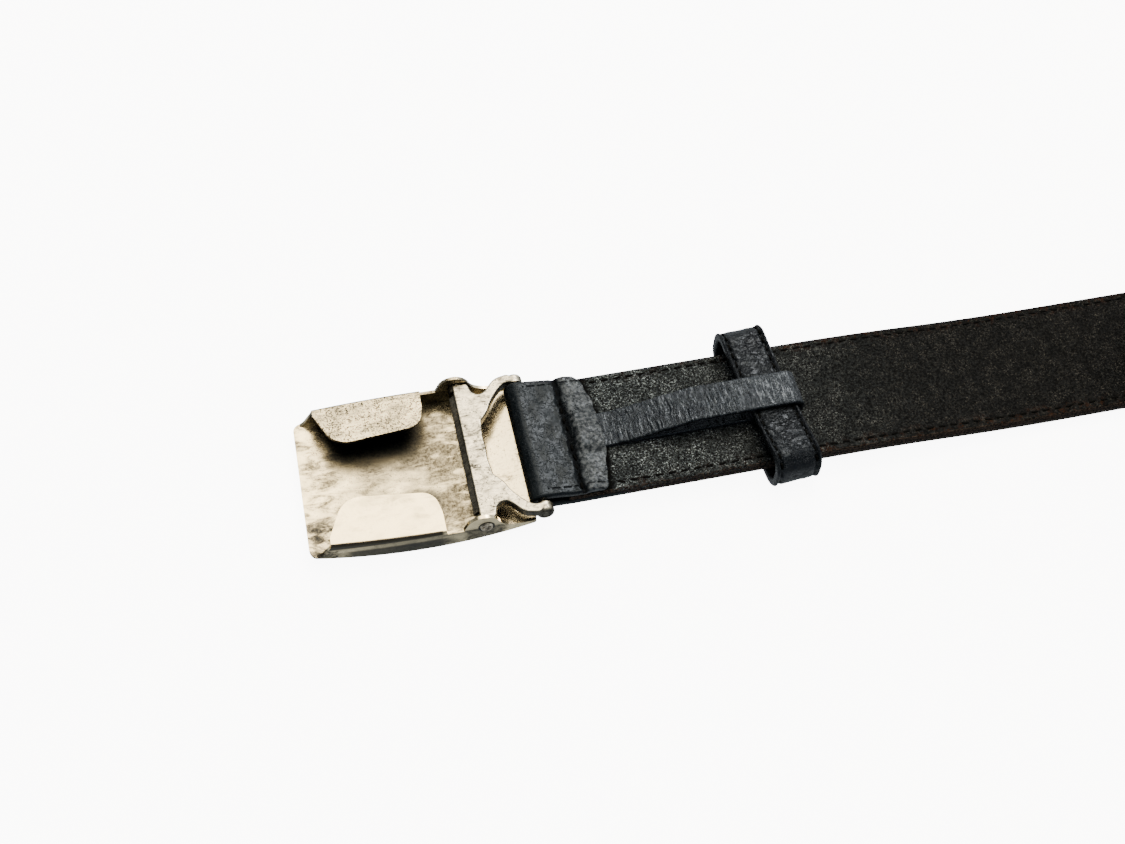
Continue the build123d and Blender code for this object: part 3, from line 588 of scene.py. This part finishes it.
def old_metal(name, light, roughness, speckle, tarnish=0.0, cast=0.0, plaque=False):
    """Plated metal gone dull: brown clouds and runs, dark specks and pits, and painted shade on the
    undersides.
    cast is the depth of a casting's pebbled skin, which also gets painted shade on its sloping sides with
    some patina along its edges, and tarnish how much of it is brown; the plaque has its own zones of dirt
    instead, and painted shade."""
    n = Nodes(bpy.data.materials.new(name))
    size = 1.0 if plaque else 0.35
    broad = n.noise(8.0 * size, 3.0, 0.5, 0.6)
    streaks = n.noise(4.5 * size, 5.0, 0.62, 0.9, (0.7, 2.0, 1.0))
    fine = n.noise(0.8, 5.0, 0.8)
    spots = n.noise(0.40, 3.0, 0.7)
    level = n.shares(broad, streaks, 0.45)
    if plaque:
        dirt, cloud_shift, dust, pitted = plaque_zones(n, level)
    else:
        dirt = n.ramp(level, 0.60 - 0.14 * tarnish, 0.66 - 0.06 * tarnish)
        cloud_shift, dust, pitted = 0.03, 1.0, 0.0
    clouds = n.ramp(n.plus(level, cloud_shift), 0.34, 0.68)
    runs = n.times(dirt, n.ramp(fine, 0.36, 0.58, 0.35, 1.0))
    tone = n.mix(clouds, rgb(*light), scaled(light, 0.34, 0.35, 0.37))
    tone = n.mix(runs, tone, scaled(light, 0.080, 0.080, 0.085))
    specks = n.ramp(n.plus(n.shares(fine, spots, 0.5), pitted), 0.54, 0.64)
    specks = n.times(specks, n.ramp(n.noise(2.6, 4.0, 0.7), 0.40, 0.60, 0.35 * speckle, speckle))
    specks = n.math("MINIMUM", n.times(specks, dust), 1.0)
    tone = n.mix(specks, tone, scaled(light, 0.03, 0.03, 0.034))
    # painted shade: faces turned down, above the floor's height, go near black
    under = n.times(n.fall(n.facing(2, "True Normal"), -0.5, 0.1), n.height(4.0, 4.8))
    if cast:
        # painted shade on a casting's sloping sides and rounded edges, with some patina along its edges
        under = n.larger(under, n.fall(n.facing(2), 0.55, 0.94, 0.85))
    if plaque:
        for shade_and_smut in plaque_shade_and_smut(n, streaks, fine):
            under = n.larger(under, shade_and_smut)
    dull = n.ramp(fine, 0.3, 0.7, roughness - 0.05, roughness + 0.1)
    dull = n.plus(dull, n.plus(n.times(dirt, 0.10), n.times(specks, 0.2)))
    skin = n.bump(n.noise(0.6, 4.0, 0.65), 0.003 + cast, 0.8)
    n.set(Base_Color=n.mix(under, tone, PAINTED_SHADE_AND_SMUT), Metallic=1.0, Roughness=n.plus(dull, n.times(under, 0.2)),
          Normal=n.bump(n.fall(specks, 0.0, 1.0), 0.012 + cast, 0.8, skin))
    return n.owner


# ---- thread ---------------------------------------------------------------------------------------
THREAD_DARK, THREAD_LIGHT = rgb(0.0003, 0.0003, 0.0003), rgb(0.0012, 0.0011, 0.0010)


def sewing_thread(name):
    """Waxed black thread, with the twist of its plies as bump."""
    n = Nodes(bpy.data.materials.new(name))
    plies = n.bump(n.noise(0.18, 2.0, 0.5, 0.0, (1.0, 3.0, 1.0)), 0.05, 0.8)
    n.set(Base_Color=n.mix(n.noise(0.8, 3.0), THREAD_DARK, THREAD_LIGHT), Roughness=0.7,
          Specular_IOR_Level=0.04, Normal=plies)
    return n.owner


GRAIN = leather("grain_leather", (0.0014, 0.0022, 0.0028), gloss=0.28, grain_size=0.42, grain_depth=0.06,
                crease=0.035, sheen=0.155, chape=True)
TETHER_LEATHER = leather("tether_leather", (0.0018, 0.0025, 0.0031), gloss=0.25, grain_size=0.4,
                         grain_depth=0.04, crease=0.03, sheen=0.52, wrinkles=(1.0, 0.14, 0.4))
KEEPER_LEATHER = leather("keeper_leather", (0.0010, 0.0014, 0.0019), gloss=0.20, grain_size=0.5,
                         grain_depth=0.03, crease=0.03, sheen=0.19, wrinkles=(0.26, 0.40, 0.40))
SUEDE = suede("split_leather")
THREAD = sewing_thread("sewing_thread")
PLATED = old_metal("nickel_silver", (0.88, 0.73, 0.46), roughness=0.18, speckle=0.75, plaque=True)
CAST = old_metal("cast_metal", (0.74, 0.66, 0.50), roughness=0.28, speckle=0.9, tarnish=0.5, cast=0.03)
PIN_METAL = old_metal("pin_metal", (0.7, 0.6, 0.46), roughness=0.22, speckle=0.4, tarnish=0.4)


# =====================================================================================================
# Strap: grain leather, lining and seams, in one length from the buckle to the tip
# =====================================================================================================

LEAD_MID = UNDERSIDE + STRAP / 2  # height of the strap's middle in the lead
FLAT_MID = STRAP / 2  # and where it lies on the table


def half_turn(turn):
    """Height of the centre and radius of one half turn of the roll."""
    return FLAT_MID + ROLL_RADIUS + (turn % 2) * ROLL_PITCH / 2, ROLL_RADIUS - turn * ROLL_PITCH / 2


def strap_runs(from_x, offset):
    """Runs of a line parallel to the strap's middle, from from_x to the tip."""
    run = STEP_END - STEP_START
    radius = (run**2 + UNDERSIDE**2) / (4 * UNDERSIDE)
    turn = degrees(asin(run / 2 / radius))
    runs = [
        line((from_x, LEAD_MID + offset), (STEP_START, LEAD_MID + offset)),
        arc((STEP_START, LEAD_MID - radius), radius + offset, 90, 90 - turn),
        arc((STEP_END, FLAT_MID + radius), radius - offset, 270 - turn, 270),
        line((STEP_END, FLAT_MID + offset), (ROLL_X, FLAT_MID + offset)),
    ]
    for turn in range(ROLL_HALF_TURNS):
        centre_z, radius = half_turn(turn)
        start = 90 if turn % 2 else -90
        runs.append(arc((ROLL_X, centre_z), radius - offset, start, start + 180))
    return runs


def touch(x, z, turn):
    """Angle on the loop round the strap bar where the line from (x, z) touches it."""
    distance = hypot(x - BAR_X, z - BAR_Z)
    return degrees(atan2(z - BAR_Z, x - BAR_X) + turn * acos(LOOP_RADIUS / distance))


outer_z = LEAD_MID + OUTER / 2 - STRAP / 2
upper, lower = touch(LOOP_CLOSE_X, FLAP_Z, 1), touch(LOOP_CLOSE_X, outer_z, -1)
loop = arc((BAR_X, BAR_Z), LOOP_RADIUS, upper, 360 + lower)
outer_route = Route(
    line((FLAP_END_X, FLAP_Z), (LOOP_CLOSE_X, FLAP_Z)),
    line((LOOP_CLOSE_X, FLAP_Z), loop[0]),
    loop,
    line(loop[-1], (LOOP_CLOSE_X, outer_z)),
    *strap_runs(LOOP_CLOSE_X, OUTER / 2 - STRAP / 2),
)
lining_route = Route(*strap_runs(LOOP_CLOSE_X - 1.4, STRAP / 2 - LINING / 2))
top_route = Route(*strap_runs(LOOP_CLOSE_X, STRAP / 2))


def stations(length, change, before, after):
    """Distances along a route, with one step between them before the change and another after it."""
    far = np.linspace(change, length, int((length - change) / after) + 1)
    return np.concatenate([np.arange(0, change, before), far])


def rounded(w, from_end, corner, least):
    """Narrows the strap near an end to round its corners in plan; least keeps the end from closing."""
    left = np.clip(corner - from_end, 0, corner)
    half = STRAP_WIDTH / 2 - corner + np.sqrt(np.maximum(corner**2 - left**2, least))
    return w * half / (STRAP_WIDTH / 2)


def flap_form(s, w, t):
    """Section of the grain leather: round corners at both ends, and the turned one skived."""
    w = rounded(w, outer_route.length - s, TIP_CORNER, 0.01)
    skive = 1 - FLAP_SKIVE * np.clip(1 - s / SKIVE_LENGTH, 0, 1) ** 1.3
    return rounded(w, s, FLAP_CORNER, 0.0), OUTER / 2 - (OUTER / 2 - t) * skive


def lining_form(s, w, t):
    """Section of the lining: round corners at the tip, and nap that fills the gaps between the turns."""
    in_roll = s - (ROLL_X - LOOP_CLOSE_X)
    nap = (ROLL_PITCH - STRAP - NAP_CLEARANCE) * np.clip((in_roll - 12) / 60, 0, 1)
    return rounded(w, lining_route.length - s, TIP_CORNER, 0.01), t + nap * (t > 0)


seam_s = FLAP_END_X - SEAM_X


def flap_lift(s, w, t):
    """Puckers of the turned end: a groove along its seam, a swell over the tether's end and faint waves."""
    on_flap = np.clip((seam_s + 9 - s) / 4, 0, 1)  # fades out beyond the seam, towards the bar
    wobble = 0.35 * np.sin(w * 0.9) + 0.2 * np.sin(w * 2.1 + 1)
    from_seam = (s - seam_s - wobble) / SEAM_HALF_WIDTH
    groove = SEAM_DEPTH * np.exp(-from_seam ** 2) * (0.8 + 0.2 * np.sin(w * 2.4))
    beyond = np.clip((seam_s - s - 0.4) / 1.8, 0, 1)
    tether = 1 / (1 + np.exp(-(TETHER_WIDTH / 2 + 0.8 - np.abs(w)) / 0.35))
    swell = beyond * (1.05 * tether + 0.22 + 0.12 * np.sin(w * 0.8 + 2))
    waves = 0.16 * np.sin(w * 0.55 + 1.0) * np.sin(s * 0.8)
    grain_side = np.clip(0.5 - t / OUTER, 0, 1)
    return on_flap * (groove * grain_side - swell - waves * grain_side)


def flap_slide(s, w):
    """The free edge of the turned end curves back at its corners."""
    fade = np.clip(1 - s / 7.0, 0, 1)
    wobble = 0.35 * np.sin(w * 0.5 + 0.6) + 0.2 * np.sin(w * 1.3)
    return fade * (FLAP_CURVE * (w / (STRAP_WIDTH / 2)) ** 2 + wobble * 0.8)


turn_length = 26.0  # the turned end and its loop, which have the closest rows
outer_rows = np.concatenate([
    np.arange(0, turn_length, 0.2),
    turn_length + stations(outer_route.length - turn_length, change=140, before=0.6, after=1.5),
])
strap_outer = strip(
    "strap_outer", outer_route, outer_rows, section(STRAP_WIDTH, OUTER, corner=0.55, across_step=0.55),
    GRAIN, lift=flap_lift, slide=flap_slide, form=flap_form,
)
strap_lining = strip(
    "strap_lining", lining_route, stations(lining_route.length, change=150, before=0.45, after=1.5),
    section(STRAP_WIDTH - 0.1, LINING, corner=0.25, across_step=0.45), SUEDE, form=lining_form,
)


def edge_stitches():
    """Places of the two rows of stitches along the strap's edges, from the turned end to the tip."""
    height = 0.05  # of a stitch's middle above the lining
    places = []
    for y in (STRAP_WIDTH / 2 - SEAM_INSET, -(STRAP_WIDTH / 2 - SEAM_INSET)):
        for s in np.arange(FLAP_END_X - LOOP_CLOSE_X + 1.5, top_route.length - 4, STITCH_PITCH):
            place, up = top_route.place(s), top_route.normal(s)
            x, z = place + up * height
            places.append(((x, y, z), (up[1], 0, -up[0]), (up[0], 0, up[1])))
    return places


edge_seam = stitch_mesh("edge_seam", edge_stitches(), THREAD)

for piece, nodes in (
    (strap_outer, ("outer_strap_lead", "outer_strap_tail")),
    (strap_lining, ("lining_lead", "lining_tail")),
    (edge_seam, ("edge_thread_lead", "edge_thread_tail")),
):
    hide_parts(*nodes)

seam_z = FLAP_Z + OUTER / 2 - 0.42  # sunk in the seam's groove
seam_places = []
for y in np.arange(-14.2, 14.3, 2.6):
    x = SEAM_X + 0.3 * sin(y * 0.9)
    seam_places.append(((x, y, seam_z), (0.15 * sin(y * 3), 1, 0), (0, 0, 1)))
chape_seam = stitch_mesh("chape_seam", seam_places, THREAD, length=2.2, width=0.7, height=0.45)
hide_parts("chape_thread")
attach(chape_seam, "strap_lead")


# =====================================================================================================
# Keeper
# =====================================================================================================

KEEPER_THICK = 1.8
KEEPER_CORNER = 4.2
KEEPER_GAP = 0.15  # half of the butt joint underneath
KEEPER_SAG, SAG_HALF = 1.2, 17.0  # of the back run, under the tether, and half its length
KEEPER_SKEW = 4.0  # degrees that the keeper sits turned on the strap
KEEPER_PITCH = 2.5
STITCHED_FROM, STITCHED_TO = 0.27, 0.735  # shares of the loop's length between which the seams show
KEEPER_X = (KEEPER_LOW[0] + KEEPER_HIGH[0]) / 2
KEEPER_WIDTH = KEEPER_HIGH[0] - KEEPER_LOW[0]
CREASE = KEEPER_WIDTH / 2 - 1.25  # of its two seams, from its middle


def keeper_route(offset):
    """Rounded rectangle through the keeper's leather, outside its middle by an offset, from the butt joint
    underneath and back to it."""
    half = KEEPER_HIGH[1] - KEEPER_THICK / 2 + offset
    low, high = KEEPER_THICK / 2 - offset, KEEPER_HIGH[2] - KEEPER_THICK / 2 + offset
    r = KEEPER_CORNER - KEEPER_THICK / 2 + offset
    return Route(
        line((KEEPER_GAP, low), (half - r, low)),
        arc((half - r, low + r), r, -90, 0),
        line((half, low + r), (half, high - r)),
        arc((half - r, high - r), r, 0, 90),
        line((half - r, high), (-half + r, high)),
        arc((-half + r, high - r), r, 90, 180),
        line((-half, high - r), (-half, low + r)),
        arc((-half + r, low + r), r, 180, 270),
        line((-half + r, low), (-KEEPER_GAP, low)),
    )


keeper_middle = keeper_route(0.0)
keeper_outside = keeper_route(KEEPER_THICK / 2)


def keeper_sag(y, z):
    """How far the keeper's back run hangs down under the tether."""
    high = np.clip((z - KEEPER_HIGH[2] / 2) / 3.0, 0, 1)
    return KEEPER_SAG * high * np.clip(1 - (y / SAG_HALF) ** 2, 0, 1)


def keeper_lift(s, w, t):
    """The keeper's sag, its rims, the creases along its seams and the wrinkles between them."""
    place = keeper_middle.place(s)
    outside = np.clip(0.5 - t / KEEPER_THICK, 0, 1)
    stitch = np.cos(pi * (s - keeper_middle.length * STITCHED_FROM) / KEEPER_PITCH) ** 2
    groove = (0.12 + 0.48 * stitch) * np.exp(-((np.abs(w) - CREASE) / 0.36) ** 2)
    shape = s.shape
    points = np.stack([place[..., 0].ravel(), w.ravel(), place[..., 1].ravel()], axis=1)
    wrinkle = soft_noise(points, (2.6, 4.2, 3.0), 3.7).reshape(shape)
    fine = soft_noise(points, (0.9, 2.2, 1.2), 9.1).reshape(shape)
    inner = np.clip((CREASE - np.abs(w)) / 0.8, 0, 1)
    rim = 0.28 * np.clip((np.abs(w) - CREASE - 0.3) / 0.5, 0, 1)
    relief = groove - rim + inner * (0.20 * wrinkle + 0.16 * np.abs(fine) - 0.05)
    return keeper_sag(place[..., 0], place[..., 1]) + outside * relief


keeper_loop = strip(
    "keeper_loop", keeper_middle, np.linspace(0, keeper_middle.length, 260),
    section(KEEPER_WIDTH, KEEPER_THICK, corner=0.6, across_step=0.25), KEEPER_LEATHER, lift=keeper_lift,
    plane="yz",
)
TO_MIDDLE = Matrix.Translation((-START_X * MM, 0, 0))
SKEW = Matrix.Rotation(radians(KEEPER_SKEW), 4, "Z")
KEEPER_PLACE = Matrix.Translation(((START_X + KEEPER_X) * MM, 0, 0)) @ SKEW
keeper_loop.data.transform(KEEPER_PLACE @ TO_MIDDLE)
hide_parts("keeper")
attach(keeper_loop, "keeper_loop")

stitched_from, stitched_to = keeper_outside.length * STITCHED_FROM, keeper_outside.length * STITCHED_TO
seam_places = []
for x in (CREASE, -CREASE):
    for s in np.arange(stitched_from, stitched_to, KEEPER_PITCH):
        place, inward = keeper_outside.place(s), keeper_outside.normal(s)
        y, z = place + (0.16 + keeper_sag(*place)) * inward  # a little below the leather's surface
        seam_places.append(((x, y, z), (0, -inward[1], inward[0]), (0, -inward[0], -inward[1])))
keeper_seams = stitch_mesh("keeper_seams", seam_places, THREAD, length=1.8, width=0.6, height=0.36)
keeper_seams.data.transform(KEEPER_PLACE @ TO_MIDDLE)
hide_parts("keeper_thread")
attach(keeper_seams, "keeper_loop")


# =====================================================================================================
# Tether
# =====================================================================================================

TETHER_THICK = 1.1
TUCK_X = 65.3  # where its two ends lie under the turned end
TUCK_THICK = 0.5  # of each run there, where it is skived
RISE_START, RISE_END, RISE_SLOPE = 70.2, 95.0, 13.0  # the top run's climb to the keeper; slope in degrees
WRAP_SHORT = 1.0  # between the end of its CAD solid and where it turns round the keeper
tether_low = TETHER_LOW[2] + TETHER_THICK / 2
tether_high = TETHER_HIGH[2] - TETHER_THICK / 2 - KEEPER_SAG
wrap_radius = (tether_high - tether_low) / 2
wrap_x = TETHER_HIGH[0] - WRAP_SHORT - TETHER_THICK / 2 - wrap_radius
tuck_z = TETHER_LOW[2] + 1.5 * TUCK_THICK
slope = radians(RISE_SLOPE)
rise_run, rise = RISE_END - RISE_START, tether_high - tuck_z
rise_radius = (rise_run * sin(slope) / cos(slope) - rise) * cos(slope) / (2 - 2 * cos(slope))
upper_bend = arc((RISE_END, tether_high - rise_radius), rise_radius, 90, 90 + RISE_SLOPE)
lower_bend = arc((RISE_START, tuck_z + rise_radius), rise_radius, 270 + RISE_SLOPE, 270)
tether_route = Route(
    line((TUCK_X, tether_low), (wrap_x, tether_low)),
    arc((wrap_x, tether_low + wrap_radius), wrap_radius, -90, 90),
    line((wrap_x, tether_high), (RISE_END, tether_high)),
    upper_bend,
    line(upper_bend[-1], lower_bend[0]),
    lower_bend,
    line((RISE_START, tuck_z), (TUCK_X + 0.4, tuck_z)),
)
top_start = tether_route.length - 50


def tether_form(s, w, t):
    """The tether is skived where both its ends lie under the turned end of the strap."""
    thin, half = TUCK_THICK / TETHER_THICK, TETHER_THICK / 2
    low = thin + (1 - thin) * np.clip((s - 5.5) / 5.0, 0, 1)
    high = thin + (1 - thin) * np.clip((tether_route.length - s - 5.0) / 3.5, 0, 1)
    lower_run = s < tether_route.length / 2
    return w, np.where(lower_run, -half + (t + half) * low, t * high)


def tether_lift(s, w, t):
    """Fine wrinkles across the tether's top run, deepest where it bends up from the turned end."""
    outside = np.clip(0.5 - t / TETHER_THICK, 0, 1)
    shape = s.shape
    flat = np.stack([s.ravel(), w.ravel(), w.ravel() * 0], axis=1)
    warp = soft_noise(flat, (6.0, 3.0, 1.0), 1.3)
    points = flat + np.stack([0.9 * warp, 0 * warp, 0 * warp], axis=1)
    ridges = np.abs(soft_noise(points, (0.7, 4.5, 1.0), 5.5).reshape(shape))
    broad = np.abs(soft_noise(points, (1.3, 7.0, 1.0), 2.2).reshape(shape))
    fade = np.clip((s - top_start - 4) / 14, 0.1, 1) * np.clip((tether_route.length - s - 4) / 3, 0.3, 1)
    return outside * fade * (0.62 * ridges + 0.30 * broad - 0.10)


tether_piece = strip(
    "tether_strip", tether_route, stations(tether_route.length, change=50, before=0.8, after=0.15),
    section(TETHER_WIDTH, TETHER_THICK, corner=0.35, across_step=0.3), TETHER_LEATHER, lift=tether_lift,
    form=tether_form,
)
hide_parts("tether")
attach(tether_piece, "strap_lead")


# =====================================================================================================
# Buckle
# =====================================================================================================

for node, material in (("face_plate", PLATED), ("pivot_pins", PIN_METAL), ("clamp_frame", CAST),
                       ("strap_bar", CAST), ("keeper_staple", PIN_METAL)):
    slots = frame["nodes"][node].data.materials
    for index in range(len(slots)):
        slots[index] = material

for piece in (strap_outer, strap_lining, edge_seam):
    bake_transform(piece)


# =====================================================================================================
# Floor, light and camera
# =====================================================================================================


def floor():
    """White lightbox surface and backdrop, which glow but neither light the belt nor show in its metal."""
    material = bpy.data.materials.new("floor")
    material.use_nodes = True
    shader = material.node_tree.nodes["Principled BSDF"]
    shader.inputs["Base Color"].default_value = rgb(0.8, 0.8, 0.8)
    shader.inputs["Roughness"].default_value = 0.9
    shader.inputs["Specular IOR Level"].default_value = 0.1
    shader.inputs["Emission Color"].default_value = rgb(1.0, 1.0, 1.0)
    shader.inputs["Emission Strength"].default_value = 9.0
    just_below = CAD_BOX[0][2] - 0.2 * MM
    bpy.ops.mesh.primitive_plane_add(size=6.0, location=(0, 0, just_below))
    plane = bpy.context.object
    bpy.ops.mesh.primitive_uv_sphere_add(segments=64, ring_count=32, radius=2.8, location=(0, 0, 0.5))
    dome = bpy.context.object
    for stage, name in ((plane, "floor"), (dome, "backdrop")):
        stage.name = name
        stage.data.materials.append(material)
        stage.visible_diffuse = stage.visible_glossy = stage.visible_shadow = False


def key_light():
    """Small warm lamp above and behind the belt, in metres."""
    light = bpy.data.lights.new("key", "AREA")
    light.shape = "RECTANGLE"
    light.size = light.size_y = 0.2
    light.energy = 3.0
    light.color = (1.0, 0.95, 0.88)
    lamp = bpy.data.objects.new("key", light)
    lamp.location = (0.30, 0.40, 0.65)
    lamp.rotation_euler = (-lamp.location).to_track_quat("-Z", "Y").to_euler()
    bpy.context.scene.collection.objects.link(lamp)


def camera():
    """Camera above the buckle end, tilted back towards the viewer and rolled a little."""
    tilt = Matrix.Rotation(radians(-33.406), 3, "X")
    pan = Matrix.Rotation(radians(8.293), 3, "Y")
    roll = Matrix.Rotation(radians(9.728), 3, "Z")
    turn = (roll @ pan @ tilt).transposed()
    aim = Vector((START_X + 95.0, 0.0, 3.0))
    away = Vector((-33.543, -0.693, 312.3))  # from aim to the camera, in the camera's own axes
    data = bpy.data.cameras.new("camera")
    data.sensor_width = 36.0
    data.lens = 42.3
    data.clip_start = 0.01
    view = bpy.data.objects.new("camera", data)
    view.matrix_world = Matrix.Translation((aim + turn @ away) * MM) @ turn.to_4x4()
    bpy.context.scene.collection.objects.link(view)
    bpy.context.scene.camera = view


def studio():
    """Warm bright panel overhead, leaning back from the viewer, with a broad cool fill round it, a low glow
    above the horizon, least towards the buckle's end, and a grey table below it."""
    world = bpy.data.worlds.new("studio")
    n = Nodes(world, "Generated")
    panel = Vector((0.20, 0.36, 0.91)).normalized()
    towards = n.add("VectorMath", {0: n.place, 1: panel}, operation="DOT_PRODUCT").outputs["Value"]
    x, y, z = n.axis(0), n.axis(1), n.axis(2)
    core = n.ramp(towards, 0.74, 0.975)
    strength = n.plus(n.times(core, 7.0), n.ramp(towards, -0.2, 0.8, 0.05, 0.45))
    strength = n.times(strength, n.ramp(x, -0.5, 0.0, 0.3, 1.0))
    glow = n.times(n.fall(z, 0.05, 0.75), n.ramp(y, -0.4, 0.2, 0.85, 1.1), n.ramp(x, -0.7, 0.1, 0.35, 1.0))
    strength = n.plus(strength, n.times(glow, n.ramp(z, -0.1, 0.05)))
    table = n.fall(z, -0.15, 0.0, 0.65)
    background = n.tree.nodes["Background"]
    n.join(background.inputs["Color"], n.mix(core, rgb(0.90, 0.97, 1.0), rgb(1.0, 0.90, 0.70)))
    n.join(background.inputs["Strength"], n.plus(strength, table))
    bpy.context.scene.world = world


floor()
key_light()
camera()
studio()
